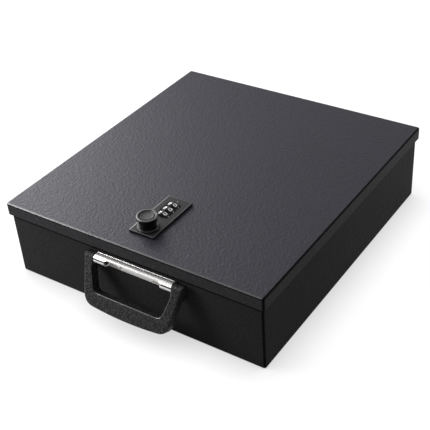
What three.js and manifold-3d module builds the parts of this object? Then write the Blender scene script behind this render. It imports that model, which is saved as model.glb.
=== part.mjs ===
// Medication lock box: a folded steel tray with an overlapping hinged lid, a three-dial combination
// cam lock with a round knob, and a moulded carry handle hung in a curled metal channel.
// Millimetres. +Z is up, the front is at -Y, and the origin is at the centre of the tray's underside.
import * as THREE from 'three';
import { mergeVertices } from 'three/addons/utils/BufferGeometryUtils.js';
import Module from 'manifold-3d';

const wasm = await Module();
wasm.setup();

// Fits shared by the whole box
const seatGap = 0.3;
const overrun = 4;
const weldDistance = 0.0001;

// Box
const lidWidth = 300;
const lidDepth = 325;
const boxHeight = 85;
const sheet = 1.2;
const skirtHeight = 13.2;
const lidOverhang = 2.5;
const lidRimGap = 0.5;
const rimFlange = 12;
const rimCorner = 6;
const planRadius = 2.6;
const bendRadius = 1.7;

// Strip hinge
const hingeLength = 240;
const knuckleLength = 20;
const knuckleGap = 0.4;
const leafSheet = 1;
const leafDrop = 18;
const hingePinRadius = 0.85;
const hingePinGap = 0.25;
const hingeDrop = 0.25;
const knuckleRoom = 0.4;
const hingeNotchGap = 0.8;
const hingeEndGap = 1.5;
const hingePinTail = 0.6;

// Lock face plate and casting
const lockX = 3.5;
const knobSetback = 33.8;
const plateWidth = 28.2;
const plateLength = 64.4;
const plateThickness = 2.5;
const plateBevel = 0.8;
const knobFromPlateFront = 11.7;
const castingInset = 2.3;
const castingEndInset = 3;
const castingDepth = 18.8;
const coverSheet = 1.6;
const coverScrewInset = 2.6;
const coverScrewRadius = 1.1;
const coverScrewHead = 2.3;
const coverScrewSink = 1.2;
const coverScrewLength = 7;
const indexLength = 4.8;
const indexWidth = 0.9;
const indexDepth = 0.35;
const indexFromPlateRear = 4.8;

// Clamp frame under the lid
const clampSheet = 1.5;
const clampBorder = 3.7;
const clampTabLength = 8;
const clampTabDrop = 8;
const clampScrewRadius = 1.5;
const clampScrewHead = 2.9;
const clampScrewHeadHeight = 1.8;
const clampScrewGrip = 4.5;

// Dials
const dialCount = 3;
const dialDigits = 10;
const dialRadius = 10;
const dialThickness = 6.6;
const dialPitch = 8.2;
const dialProud = 3;
const dialFromKnob = 31.4;
const dialSlotGap = 0.4;
const dialSideGap = 0.25;
const dialFlatSink = 0.35;
const dialRidge = 0.9;
const axleRadius = 1.5;
const axleSeat = 5;
const spacerRadius = 3.2;
const chamberSideGap = 0.5;

// Detent spring
const springSheet = 0.5;
const springFingerWidth = 4.6;
const springHeel = 1.6;
const springToe = 2.2;

// Knob
const collarRadius = 11;
const collarStepRadius = 9.4;
const collarHeight = 2;
const collarLip = 0.9;
const knobHeight = 11.2;
const knobTopRadius = 10.4;
const knobWaistRadius = 8.1;
const knobWaistHeight = 1.2;
const knobRimHeight = 1.5;
const knobRimChamfer = 0.9;
const knobRimWidth = 3.6;
const knobRimCrest = 1.5;
const knobRimSlope = 1.6;
const dishDepth = 1.9;
const capThickness = 0.8;
const capDish = 0.5;
const spindleRadius = 4;
const spindleInKnob = 7.6;

// Cam
const camSheet = 1.5;
const camHubRadius = 7.5;
const camLength = 25;
const camHalfWidth = 5.6;
const camTipHalfWidth = 4.6;
const camTipCorner = 2;
const camDrop = 0.7;
const camSquare = 6;
const threadRadius = 2.5;
const threadTail = 1;
const camWasherRadius = 5.5;
const camWasherSheet = 0.9;
const camNutWidth = 8;
const camNutHeight = 3;

// Strike bracket
const strikeWidth = 15;
const strikeReach = 12.5;
const strikeHeight = 15;
const strikeGap = 0.6;

// Handle channel
const handleX = 10.8;
const channelLength = 90.6;
const channelSheet = 1;
const channelRadius = 4.8;
const channelBelowSkirt = 5.1;
const channelCoverReach = 2.5;
const channelFlangeDrop = 8.3;
const channelFlangeCorner = 1.5;
const curlLength = 12.6;
const curlSlit = 1.6;
const curlSlitAngle = 20;
const handleScrewSpread = 44.3;
const handleScrewDrop = 3.6;
const handleScrewRadius = 1.75;
const handleScrewHead = 3.1;
const handleScrewHeadHeight = 1.8;
const handleScrewTail = 1;
const handleWasherRadius = 3.4;
const handleWasherSheet = 0.6;
const handleNutWidth = 6.6;
const handleNutHeight = 2.6;

// Grip
const gripTilt = 24.3;
const gripThickness = 9.6;
const gripBevel = 1.6;
const gripEndGap = 0.45;
const gripArmWidth = 11.4;
const gripTaper = 9;
const gripInnerTaper = 6.3;
const gripKnee = 10;
const gripDrop = 49.6;
const gripBow = 3.6;
const gripCorner = 9.9;
const gripBarHeight = 17.5;
const gripInnerCorner = 5.9;
const heelLength = 9;
const heelRunout = 2.5;
const heelSideInset = 2;
const stubNeckRadius = 3;
const stubEndWall = 3.1;
const stubShort = 0.6;

// Faces and steps of round forms
const finePlan = 48;
const roundFaces = 32;
const midFaces = 24;
const smallFaces = 16;
const knuckleFaces = 14;
const cornerSteps = 3;
const gripCurveSteps = 7;
const gripBevelSteps = 2;
const hexFaces = 6;

// Levels and places worked out from the sizes above
const lidX = lidWidth / 2;
const lidY = lidDepth / 2;
const trayX = lidX - lidOverhang;
const trayY = lidY - lidOverhang;
const skirtBottom = boxHeight - skirtHeight;
const lidUnderside = boxHeight - sheet;
const rimTop = lidUnderside - lidRimGap;
const rimUnderside = rimTop - sheet;

const knobY = knobSetback - lidY;
const plateBottom = boxHeight + seatGap;
const plateTop = plateBottom + plateThickness;
const plateFront = knobY - knobFromPlateFront;
const plateRear = plateFront + plateLength;
const castingX = plateWidth / 2 - castingInset;
const castingFront = plateFront + castingEndInset;
const castingRear = plateRear - castingEndInset;
const castingBottom = plateBottom - castingDepth;
const coverTop = castingBottom - seatGap;
const coverBottom = coverTop - coverSheet;
const camTop = coverBottom - camDrop;
const camBottom = camTop - camSheet;

const dialsY = knobY + dialFromKnob;
const dialAxisZ = plateTop + dialProud - dialRadius;
const dialGap = dialPitch - dialThickness;
const spacerLength = dialGap - 2 * seatGap;
const chamberHalfLength = (dialCount * dialPitch + dialGap) / 2;

const channelFace = -trayY - seatGap;
const pivotY = channelFace - channelRadius;
const pivotZ = skirtBottom - channelBelowSkirt - channelRadius;
const handleScrewZ = pivotZ - handleScrewDrop;

// A closed geometry as a solid that can be joined and cut
function solidOf(geometry) {
  const bare = geometry.index ? geometry.toNonIndexed() : geometry.clone();
  bare.deleteAttribute('normal');
  bare.deleteAttribute('uv');
  const merged = mergeVertices(bare, weldDistance);
  return new wasm.Manifold(new wasm.Mesh({
    numProp: 3,
    vertProperties: merged.attributes.position.array,
    triVerts: new Uint32Array(merged.index.array),
  }));
}

function finish(color, roughness, metalness) {
  return new THREE.MeshStandardMaterial({ color, roughness, metalness });
}

function piece(group, name, solid, material) {
  const mesh = solid.getMesh();
  const geometry = new THREE.BufferGeometry();
  geometry.setAttribute('position', new THREE.Float32BufferAttribute(mesh.vertProperties, 3));
  geometry.setIndex(Array.from(mesh.triVerts));
  geometry.computeVertexNormals();
  const made = new THREE.Mesh(geometry, material);
  made.name = name;
  group.add(made);
}

// Boxes, rods, revolved and extruded forms, each given by where it starts and ends
function block([x0, x1], [y0, y1], [z0, z1]) {
  const geometry = new THREE.BoxGeometry(x1 - x0, y1 - y0, z1 - z0);
  geometry.translate((x0 + x1) / 2, (y0 + y1) / 2, (z0 + z1) / 2);
  return solidOf(geometry);
}

function rod(axis, radius, [from, to], [a, b], faces = midFaces) {
  const geometry = new THREE.CylinderGeometry(radius, radius, to - from, faces);
  const middle = (from + to) / 2;
  if (axis === 'x') {
    geometry.rotateZ(-Math.PI / 2).translate(middle, a, b);
  } else if (axis === 'y') {
    geometry.translate(a, middle, b);
  } else {
    geometry.rotateX(Math.PI / 2).translate(a, b, middle);
  }
  return solidOf(geometry);
}

function revolve(profile, [x, y], faces = roundFaces) {
  const points = profile.map(([radius, height]) => new THREE.Vector2(radius, height));
  const geometry = new THREE.LatheGeometry(points, faces);
  geometry.rotateX(Math.PI / 2).translate(x, y, 0);
  return solidOf(geometry);
}

const alongX = new THREE.Matrix4().makeBasis(
  new THREE.Vector3(0, 1, 0), new THREE.Vector3(0, 0, 1), new THREE.Vector3(1, 0, 0));
const alongY = new THREE.Matrix4().makeBasis(
  new THREE.Vector3(1, 0, 0), new THREE.Vector3(0, 0, 1), new THREE.Vector3(0, -1, 0));

// The outline is drawn in (y, z) along X, in (x, z) along Y and in (x, y) along Z
function extrude(axis, outline, [from, to]) {
  const geometry = new THREE.ExtrudeGeometry(outline, {
    depth: to - from,
    bevelEnabled: false,
    curveSegments: cornerSteps,
  });
  if (axis === 'x') {
    geometry.applyMatrix4(alongX).translate(from, 0, 0);
  } else if (axis === 'y') {
    geometry.applyMatrix4(alongY).translate(0, to, 0);
  } else {
    geometry.translate(0, 0, from);
  }
  return solidOf(geometry);
}

function polygon(points) {
  return new THREE.Shape(points.map(([a, b]) => new THREE.Vector2(a, b)));
}

function roundedRectangle([a0, a1], [b0, b1], radius) {
  const shape = new THREE.Shape();
  const quarter = Math.PI / 2;
  shape.moveTo(a0 + radius, b0);
  shape.lineTo(a1 - radius, b0);
  shape.absarc(a1 - radius, b0 + radius, radius, -quarter, 0);
  shape.lineTo(a1, b1 - radius);
  shape.absarc(a1 - radius, b1 - radius, radius, 0, quarter);
  shape.lineTo(a0 + radius, b1);
  shape.absarc(a0 + radius, b1 - radius, radius, quarter, 2 * quarter);
  shape.lineTo(a0, b0 + radius);
  shape.absarc(a0 + radius, b0 + radius, radius, 2 * quarter, 3 * quarter);
  return shape;
}

// A folded sheet box: rounded in plan, with bends along one end, and cut square at the other
function foldedBox(xs, ys, zs, plan, bend, openEnd) {
  const long = openEnd === 'top' ? [zs[0], zs[1] + overrun] : [zs[0] - overrun, zs[1]];
  return extrude('z', roundedRectangle(xs, ys, plan), zs)
    .intersect(extrude('y', roundedRectangle(xs, long, bend), ys))
    .intersect(extrude('x', roundedRectangle(ys, long, bend), xs));
}

function span(centre, halfLength) {
  return [centre - halfLength, centre + halfLength];
}

function hexagonRadius(widthAcrossFlats) {
  return widthAcrossFlats / (2 * Math.cos(Math.PI / hexFaces));
}

// Tray
function traySolid() {
  const inner = planRadius - sheet;
  const outside = foldedBox(span(0, trayX), span(0, trayY), [0, rimTop], planRadius, bendRadius, 'top');
  const inside = foldedBox(
    span(0, trayX - sheet), span(0, trayY - sheet), [sheet, rimUnderside],
    inner, bendRadius - sheet, 'top');
  const mouth = extrude(
    'z',
    roundedRectangle(span(0, trayX - rimFlange), [rimFlange - trayY, trayY - sheet], rimCorner),
    [rimUnderside - overrun, rimTop + overrun]);
  const rearRim = block(
    span(0, trayX - sheet - inner), [trayY - rimFlange, trayY - sheet],
    [rimUnderside - overrun, rimTop + overrun]);
  const hingeNotch = block(
    span(0, hingeLength / 2 + hingeEndGap), [trayY - sheet - overrun, trayY + overrun],
    [hingeZ - knuckleRadius - hingeNotchGap, rimTop + overrun]);
  let tray = outside.subtract(inside).subtract(mouth).subtract(rearRim).subtract(hingeNotch);
  for (const x of handleScrewXs) {
    const hole = rod(
      'y', handleScrewRadius + seatGap, [-trayY - overrun, -trayY + sheet + overrun],
      [x, handleScrewZ], smallFaces);
    tray = tray.subtract(hole);
  }
  return tray;
}

// Strip hinge: the two leaves face each other across the knuckles, so the leaves' outer faces set
// the knuckles' radius and the place of the pin
const trayLeafFront = trayY - sheet - seatGap - leafSheet;
const lidLeafRear = lidY - sheet - seatGap;
const knuckleRadius = (lidLeafRear - trayLeafFront) / 2;
const hingeY = (lidLeafRear + trayLeafFront) / 2;
const hingeZ = skirtBottom - hingeDrop - knuckleRadius;

function leafSolid(leafYs, stripZs, firstKnuckle) {
  const count = Math.round(hingeLength / knuckleLength);
  const tabZs = [Math.min(stripZs[0], hingeZ), Math.max(stripZs[1], hingeZ)];
  let leaf = block(span(0, hingeLength / 2), leafYs, stripZs);
  for (let i = firstKnuckle; i < count; i += 2) {
    const start = (i - count / 2) * hingeLength / count;
    const xs = [start + knuckleGap / 2, start + hingeLength / count - knuckleGap / 2];
    leaf = leaf.add(block(xs, leafYs, tabZs));
    leaf = leaf.add(rod('x', knuckleRadius, xs, [hingeY, hingeZ], knuckleFaces));
  }
  const bore = rod(
    'x', hingePinRadius + hingePinGap, span(0, hingeLength / 2 + overrun), [hingeY, hingeZ],
    knuckleFaces);
  return leaf.subtract(bore);
}

// Lid
function lidSolid() {
  const outside = foldedBox(
    span(0, lidX), span(0, lidY), [skirtBottom, boxHeight], planRadius, bendRadius, 'bottom');
  const inside = foldedBox(
    span(0, lidX - sheet), span(0, lidY - sheet), [skirtBottom - overrun, lidUnderside],
    planRadius - sheet, bendRadius - sheet, 'bottom');
  const cutout = block(
    span(lockX, castingX + seatGap), [castingFront - seatGap, castingRear + seatGap],
    [lidUnderside - overrun, boxHeight + overrun]);
  return outside.subtract(inside).subtract(cutout);
}

// Lock casting: the face plate and the chamber behind it are one piece
const clampTabY = (knobY + spindleRadius + dialsY - chamberHalfLength) / 2;
const clampTabZ = lidUnderside - seatGap - clampSheet - clampTabDrop / 2;
const coverScrewPlaces = [];
for (const side of [-1, 1]) {
  for (const y of [castingFront + coverScrewInset, castingRear - coverScrewInset]) {
    coverScrewPlaces.push([lockX + side * (castingX - coverScrewInset), y]);
  }
}

function bevelledPlate() {
  const xs = span(lockX, plateWidth / 2);
  const ys = [plateFront, plateRear];
  const topped = ([low, high]) => polygon([
    [low, plateBottom], [high, plateBottom], [high, plateTop - plateBevel],
    [high - plateBevel, plateTop], [low + plateBevel, plateTop], [low, plateTop - plateBevel],
  ]);
  return extrude('y', topped(xs), ys).intersect(extrude('x', topped(ys), xs));
}

function dialPlace(index) {
  return dialsY + (index - (dialCount - 1) / 2) * dialPitch;
}

function castingSolid() {
  const plateRoot = [castingBottom, plateTop - plateBevel];
  let casting = bevelledPlate().add(block(span(lockX, castingX), [castingFront, castingRear], plateRoot));
  const chamber = block(
    span(lockX, dialRadius + chamberSideGap), span(dialsY, chamberHalfLength),
    [castingBottom - overrun, plateBottom]);
  const spindleBore = rod(
    'z', spindleRadius + seatGap, [castingBottom - overrun, plateTop + overrun], [lockX, knobY]);
  const axleBore = rod(
    'y', axleRadius + seatGap, [dialsY - chamberHalfLength - axleSeat - seatGap, castingRear + overrun],
    [lockX, dialAxisZ], smallFaces);
  const index = block(
    span(lockX, indexWidth / 2), span(plateRear - indexFromPlateRear, indexLength / 2),
    [plateTop - indexDepth, plateTop + overrun]);
  casting = casting.subtract(chamber).subtract(spindleBore).subtract(axleBore).subtract(index);
  for (let i = 0; i < dialCount; i += 1) {
    const slot = rod(
      'y', dialRadius + dialSlotGap, span(dialPlace(i), dialThickness / 2 + dialSideGap),
      [lockX, dialAxisZ], finePlan);
    casting = casting.subtract(slot);
  }
  for (const place of coverScrewPlaces) {
    const hole = rod(
      'z', coverScrewRadius + seatGap,
      [castingBottom - overrun, coverBottom + coverScrewLength + seatGap], place, smallFaces);
    casting = casting.subtract(hole);
  }
  for (const side of [-1, 1]) {
    const mouth = lockX + side * (castingX + overrun);
    const end = lockX + side * (castingX - clampScrewGrip - seatGap);
    const hole = rod(
      'x', clampScrewRadius + seatGap, [Math.min(mouth, end), Math.max(mouth, end)],
      [clampTabY, clampTabZ], smallFaces);
    casting = casting.subtract(hole);
  }
  return casting;
}

function coverSolid() {
  let cover = block(span(lockX, castingX), [castingFront, castingRear], [coverBottom, coverTop]);
  cover = cover.subtract(rod(
    'z', spindleRadius + seatGap, [coverBottom - overrun, coverTop + overrun], [lockX, knobY]));
  for (const place of coverScrewPlaces) {
    const sink = revolve([
      [0, coverBottom - overrun],
      [coverScrewHead + seatGap, coverBottom - overrun],
      [coverScrewHead + seatGap, coverBottom],
      [coverScrewRadius + seatGap, coverBottom + coverScrewSink],
      [coverScrewRadius + seatGap, coverTop + overrun],
      [0, coverTop + overrun],
    ], place, smallFaces);
    cover = cover.subtract(sink);
  }
  return cover;
}

function coverScrewSolid(place) {
  return revolve([
    [0, coverBottom],
    [coverScrewHead, coverBottom],
    [coverScrewRadius, coverBottom + coverScrewSink],
    [coverScrewRadius, coverBottom + coverScrewLength],
    [0, coverBottom + coverScrewLength],
  ], place, smallFaces);
}

// The frame grips the lid from below, and its two tabs are screwed to the casting's sides
function clampSolid() {
  const top = lidUnderside - seatGap;
  const zs = [top - clampSheet, top];
  const hole = castingX + seatGap;
  let clamp = block(
    span(lockX, hole + clampBorder),
    [castingFront - seatGap - clampBorder, castingRear + seatGap + clampBorder], zs);
  const window = block(
    span(lockX, hole), [castingFront - seatGap, castingRear + seatGap], [zs[0] - overrun, top + overrun]);
  clamp = clamp.subtract(window);
  for (const side of [-1, 1]) {
    const xs = [lockX + side * hole, lockX + side * (hole + clampSheet)].sort((a, b) => a - b);
    clamp = clamp.add(block(xs, span(clampTabY, clampTabLength / 2), [zs[0] - clampTabDrop, top]));
  }
  const screwHole = rod(
    'x', clampScrewRadius + seatGap, span(lockX, hole + clampBorder + overrun),
    [clampTabY, clampTabZ], smallFaces);
  return clamp.subtract(screwHole);
}

function clampScrewSolid(side) {
  const face = castingX + 2 * seatGap + clampSheet;
  const shank = [castingX - clampScrewGrip, face];
  const head = [face, face + clampScrewHeadHeight];
  const ordered = (ends) => ends.map((x) => lockX + side * x).sort((a, b) => a - b);
  const centre = [clampTabY, clampTabZ];
  return rod('x', clampScrewRadius, ordered(shank), centre, smallFaces)
    .add(rod('x', clampScrewHead, ordered(head), centre, smallFaces));
}

// Dials: ten flats, each with room for one figure, between small grip ridges. At rest a ridge is on top
function dialSolid(index) {
  const shape = new THREE.Shape();
  const step = 2 * Math.PI / dialDigits;
  const flat = dialRadius * Math.cos(step / 2) - dialFlatSink;
  const ridge = dialRidge / dialRadius;
  for (let digit = 0; digit < dialDigits; digit += 1) {
    const corner = Math.PI / 2 + digit * step;
    const toFlat = Math.hypot(flat, flat * Math.tan(step / 2 - ridge));
    const turns = [[corner - ridge, toFlat], [corner - ridge / 2, dialRadius],
      [corner + ridge / 2, dialRadius], [corner + ridge, toFlat]];
    for (const [angle, radius] of turns) {
      const x = lockX + radius * Math.cos(angle);
      const z = dialAxisZ + radius * Math.sin(angle);
      if (digit === 0 && angle === turns[0][0]) {
        shape.moveTo(x, z);
      } else {
        shape.lineTo(x, z);
      }
    }
  }
  const ys = span(dialPlace(index), dialThickness / 2);
  const bore = rod(
    'y', axleRadius + seatGap, [ys[0] - overrun, ys[1] + overrun], [lockX, dialAxisZ], smallFaces);
  return extrude('y', shape, ys).subtract(bore);
}

function ringSolid(axis, radius, bore, ends, centre) {
  return rod(axis, radius, ends, centre, midFaces)
    .subtract(rod(axis, bore, [ends[0] - overrun, ends[1] + overrun], centre, smallFaces));
}

// Detent spring: a flat foot on the cover with one bent finger under each dial
function springSolid() {
  const foot = coverTop + seatGap;
  const reach = dialRadius;
  const peak = dialAxisZ - dialRadius - seatGap;
  const finger = polygon([
    [lockX - reach, foot], [lockX - reach + springHeel, foot],
    [lockX, peak - springSheet], [lockX + springToe, peak - springSheet - springHeel],
    [lockX + springToe, peak - springHeel], [lockX, peak],
    [lockX - reach, foot + springSheet],
  ]);
  let spring = block(
    span(lockX, reach), span(dialsY, dialPitch + springFingerWidth / 2), [foot, foot + springSheet]);
  for (let i = 0; i < dialCount; i += 1) {
    spring = spring.add(extrude('y', finger, span(dialPlace(i), springFingerWidth / 2)));
  }
  return spring;
}

// Knob, collar and cap
const collarBottom = plateTop + seatGap;
const collarTop = collarBottom + collarHeight;
const knobBottom = collarTop + seatGap;
const knobTop = knobBottom + knobHeight;
const dishRadius = knobTopRadius - knobRimWidth;
const dishFloor = knobTop - dishDepth;
const knobPlace = [lockX, knobY];

function collarSolid() {
  const ring = revolve([
    [0, collarBottom],
    [collarRadius, collarBottom],
    [collarRadius, collarBottom + collarLip],
    [collarStepRadius, collarTop],
    [0, collarTop],
  ], knobPlace);
  return ring.subtract(rod(
    'z', spindleRadius + seatGap, [collarBottom - overrun, collarTop + overrun], knobPlace));
}

function knobSolid() {
  const waistTop = knobBottom + knobWaistHeight;
  const rimFoot = knobTop - knobRimHeight;
  const body = revolve([
    [0, knobBottom],
    [knobWaistRadius, knobBottom],
    [knobWaistRadius, waistTop],
    [(knobWaistRadius + knobTopRadius) / 2, (waistTop + rimFoot) / 2],
    [knobTopRadius, rimFoot],
    [knobTopRadius, knobTop - knobRimChamfer],
    [knobTopRadius - knobRimChamfer, knobTop],
    [knobTopRadius - knobRimCrest, knobTop],
    [dishRadius, knobTop - knobRimSlope],
    [dishRadius, dishFloor],
    [0, dishFloor],
  ], knobPlace, finePlan);
  const socket = rod(
    'z', spindleRadius + seatGap, [knobBottom - overrun, knobBottom + spindleInKnob + seatGap], knobPlace);
  return body.subtract(socket);
}

function capSolid() {
  const radius = dishRadius - seatGap;
  const bottom = dishFloor + seatGap;
  return revolve([
    [0, bottom],
    [radius, bottom],
    [radius, bottom + capThickness],
    [radius - capThickness, bottom + capThickness],
    [0, bottom + capThickness - capDish],
  ], knobPlace);
}

function spindleSolid() {
  const shoulder = camTop + seatGap;
  const washerBottom = camBottom - seatGap - camWasherSheet;
  const end = washerBottom - seatGap - camNutHeight - threadTail;
  const round = rod('z', spindleRadius, [shoulder, knobBottom + spindleInKnob], knobPlace);
  const square = block(
    span(lockX, camSquare / 2), span(knobY, camSquare / 2), [camBottom - seatGap / 2, shoulder]);
  const thread = rod('z', threadRadius, [end, shoulder], knobPlace, smallFaces);
  return round.add(square).add(thread);
}

// The cam points to the left while the lid is free, and to the front, under the strike, when turned
function camSolid() {
  const tip = lockX - camLength;
  const blade = extrude('z', polygon([
    [lockX, knobY - camHalfWidth], [lockX, knobY + camHalfWidth],
    [tip + camTipCorner, knobY + camTipHalfWidth], [tip, knobY + camTipHalfWidth - camTipCorner],
    [tip, knobY - camTipHalfWidth + camTipCorner], [tip + camTipCorner, knobY - camTipHalfWidth],
  ]), [camBottom, camTop]);
  const hub = rod('z', camHubRadius, [camBottom, camTop], knobPlace);
  const hole = block(
    span(lockX, camSquare / 2 + seatGap), span(knobY, camSquare / 2 + seatGap),
    [camBottom - overrun, camTop + overrun]);
  return hub.add(blade).subtract(hole);
}

function nutSolid(axis, width, bore, ends, centre) {
  return rod(axis, hexagonRadius(width), ends, centre, hexFaces)
    .subtract(rod(axis, bore, [ends[0] - overrun, ends[1] + overrun], centre, smallFaces));
}

// Strike bracket inside the front wall
function strikeSolid() {
  const wall = sheet + seatGap - trayY;
  const bottom = camTop + strikeGap;
  return extrude('x', polygon([
    [wall, bottom], [wall + strikeReach, bottom], [wall + strikeReach, bottom + sheet],
    [wall + sheet, bottom + sheet], [wall + sheet, bottom + strikeHeight], [wall, bottom + strikeHeight],
  ]), span(lockX, strikeWidth / 2));
}

// Handle channel: a flat flange on the wall whose top edge folds over into a cover. The cover curls
// right round at both ends to hold the pivots, and is cut back in the middle to clear the screws
const handleScrewXs = span(handleX, handleScrewSpread / 2);

function channelSolid() {
  const xs = span(handleX, channelLength / 2);
  const bore = channelRadius - channelSheet;
  const curl = (radius, root, ends) => rod('x', radius, ends, [pivotY, pivotZ], roundFaces)
    .add(block(ends, [pivotY, root], span(pivotZ, radius)));
  const through = [xs[0] - overrun, xs[1] + overrun];
  const tube = curl(channelRadius, channelFace, xs)
    .subtract(curl(bore, channelFace - channelSheet, through));
  const slitReach = channelRadius + overrun;
  const slit = new THREE.BoxGeometry(through[1] - through[0], slitReach, curlSlit);
  slit.translate(0, -slitReach / 2, 0).rotateX(-THREE.MathUtils.degToRad(curlSlitAngle));
  slit.translate(handleX, pivotY, pivotZ);
  const middleXs = span(handleX, channelLength / 2 - curlLength);
  const below = pivotZ - channelRadius - overrun;
  const middle = block(
    middleXs, [pivotY - channelRadius - overrun, channelFace - channelSheet], [below, pivotZ])
    .add(block(
      middleXs, [pivotY - channelRadius - overrun, pivotY - channelCoverReach],
      [below, pivotZ + channelRadius + overrun]));
  const flange = extrude('y', roundedRectangle(
    xs, [pivotZ - channelFlangeDrop, pivotZ + channelRadius], channelFlangeCorner),
  [channelFace - channelSheet, channelFace]);
  let channel = tube.subtract(solidOf(slit)).subtract(middle).add(flange);
  for (const x of handleScrewXs) {
    channel = channel.subtract(rod(
      'y', handleScrewRadius + seatGap, [channelFace - channelSheet - overrun, channelFace + overrun],
      [x, handleScrewZ], smallFaces));
  }
  return channel;
}

const handleNutSeat = sheet + 2 * seatGap + handleWasherSheet - trayY;

function handleScrewSolid(x) {
  const seat = channelFace - channelSheet - seatGap;
  const end = handleNutSeat + handleNutHeight + handleScrewTail;
  const dome = new THREE.SphereGeometry(handleScrewHead, midFaces, smallFaces);
  dome.scale(1, handleScrewHeadHeight / handleScrewHead, 1).translate(x, seat, handleScrewZ);
  const trim = block(
    span(x, handleScrewHead + overrun), [seat - handleScrewHead - overrun, seat],
    span(handleScrewZ, handleScrewHead + overrun));
  const shank = rod('y', handleScrewRadius, [seat - seatGap, end], [x, handleScrewZ], smallFaces);
  return solidOf(dome).intersect(trim).add(shank);
}

// Grip, drawn about its pivot: x along the pivot, y up the grip and z out of its face
function gripSolid() {
  const innerTop = channelLength / 2 + gripEndGap;
  const innerFoot = innerTop - gripInnerTaper;
  const halfTop = innerTop + gripArmWidth;
  const halfFoot = halfTop - gripTaper;
  const top = gripThickness / 2;
  const foot = gripBow - gripDrop;
  const innerBottom = gripBarHeight - gripDrop;
  const bend = foot + gripCorner;
  const innerBend = innerBottom + gripInnerCorner;
  const outerBend = halfTop - gripTaper * bend / foot;
  const windowBend = innerTop - gripInnerTaper * (innerBend + gripKnee) / (innerBottom + gripKnee);
  const shape = new THREE.Shape();
  shape.moveTo(-halfTop, top);
  shape.lineTo(-outerBend, bend);
  shape.quadraticCurveTo(-halfFoot, foot, gripCorner - halfFoot, foot - gripBow / 4);
  shape.quadraticCurveTo(0, -gripDrop - gripBow / 2, halfFoot - gripCorner, foot - gripBow / 4);
  shape.quadraticCurveTo(halfFoot, foot, outerBend, bend);
  shape.lineTo(halfTop, top);
  shape.lineTo(innerTop, top);
  shape.lineTo(innerTop, -gripKnee);
  shape.lineTo(windowBend, innerBend);
  shape.quadraticCurveTo(innerFoot, innerBottom, innerFoot - gripInnerCorner, innerBottom);
  shape.lineTo(gripInnerCorner - innerFoot, innerBottom);
  shape.quadraticCurveTo(-innerFoot, innerBottom, -windowBend, innerBend);
  shape.lineTo(-innerTop, -gripKnee);
  shape.lineTo(-innerTop, top);
  const geometry = new THREE.ExtrudeGeometry(shape, {
    depth: gripThickness - 2 * gripBevel,
    bevelEnabled: true,
    bevelThickness: gripBevel,
    bevelSize: gripBevel,
    bevelOffset: -gripBevel,
    bevelSegments: gripBevelSteps,
    curveSegments: gripCurveSteps,
  });
  geometry.translate(0, 0, gripBevel - gripThickness / 2);
  const wide = span(0, halfTop + overrun);
  const ended = rod('x', top, wide, [0, 0], roundFaces)
    .add(block(wide, [-gripDrop - overrun, 0], span(0, top + overrun)));
  const grip = solidOf(geometry).intersect(ended);
  return [-1, 1].reduce((made, end) => {
    const seat = [innerTop - overrun, halfTop - stubEndWall].map((x) => end * x);
    const heel = [innerTop + heelSideInset, halfTop - heelSideInset].map((x) => end * x);
    return made.add(heelSolid(heel.sort((a, b) => a - b)))
      .subtract(rod('x', stubNeckRadius + seatGap, seat.sort((a, b) => a - b), [0, 0]));
  }, grip);
}

// The heel's back lies flat on the wall and sets how far out the grip hangs
function heelSolid(xs) {
  const tilt = THREE.MathUtils.degToRad(gripTilt);
  const wallAt = (y) => -(channelRadius - y * Math.sin(tilt)) / Math.cos(tilt);
  const back = gripBevel - gripThickness / 2;
  return extrude('x', polygon([
    [0, back], [0, wallAt(0)], [-heelLength, wallAt(-heelLength)], [-heelLength - heelRunout, back],
  ]), xs);
}

// A shouldered pin: its body fills the channel's curl and its neck sits in the grip
function stubSolid(side) {
  const start = channelLength / 2 - curlLength + stubShort;
  const body = [start, channelLength / 2];
  const neck = [start, channelLength / 2 + gripEndGap + gripArmWidth - stubEndWall - seatGap];
  const ordered = (ends) => ends.map((x) => side * x).sort((a, b) => a - b);
  return rod('x', channelRadius - channelSheet - seatGap, ordered(body), [0, 0])
    .add(rod('x', stubNeckRadius, ordered(neck), [0, 0]));
}

// Assembly
const blackSteel = () => finish(0x2b2a2c, 0.55, 0.1);
const blackCasting = () => finish(0x1c1c1e, 0.4, 0.2);
const blackPlastic = () => finish(0x222224, 0.5, 0);
const chrome = () => finish(0xd8d8da, 0.12, 1);
const zincSteel = () => finish(0xa9abae, 0.35, 1);

const box = new THREE.Group();
const tray = new THREE.Group();
const lid = new THREE.Group();
const knob = new THREE.Group();
const handle = new THREE.Group();
box.add(tray, lid, knob, handle);

piece(tray, 'base_tray', traySolid(), blackSteel());
piece(tray, 'strike_bracket', strikeSolid(), zincSteel());
const trayLeafTop = hingeZ - knuckleRadius - knuckleRoom;
piece(tray, 'tray_hinge_leaf', leafSolid(
  [trayLeafFront, trayLeafFront + leafSheet], [hingeZ - leafDrop, trayLeafTop], 0), zincSteel());
piece(tray, 'hinge_pin', rod(
  'x', hingePinRadius, span(0, hingeLength / 2 + hingePinTail), [hingeY, hingeZ], knuckleFaces), zincSteel());
piece(tray, 'handle_channel', channelSolid(), chrome());
handleScrewXs.forEach((x, i) => {
  const side = ['left', 'right'][i];
  const washerSeat = sheet + seatGap - trayY;
  const bore = handleScrewRadius + seatGap;
  piece(tray, `handle_screw_${side}`, handleScrewSolid(x), chrome());
  piece(tray, `handle_washer_${side}`, ringSolid(
    'y', handleWasherRadius, bore, [washerSeat, washerSeat + handleWasherSheet], [x, handleScrewZ]), zincSteel());
  piece(tray, `handle_nut_${side}`, nutSolid(
    'y', handleNutWidth, bore, [handleNutSeat, handleNutSeat + handleNutHeight], [x, handleScrewZ]), zincSteel());
});

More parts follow.
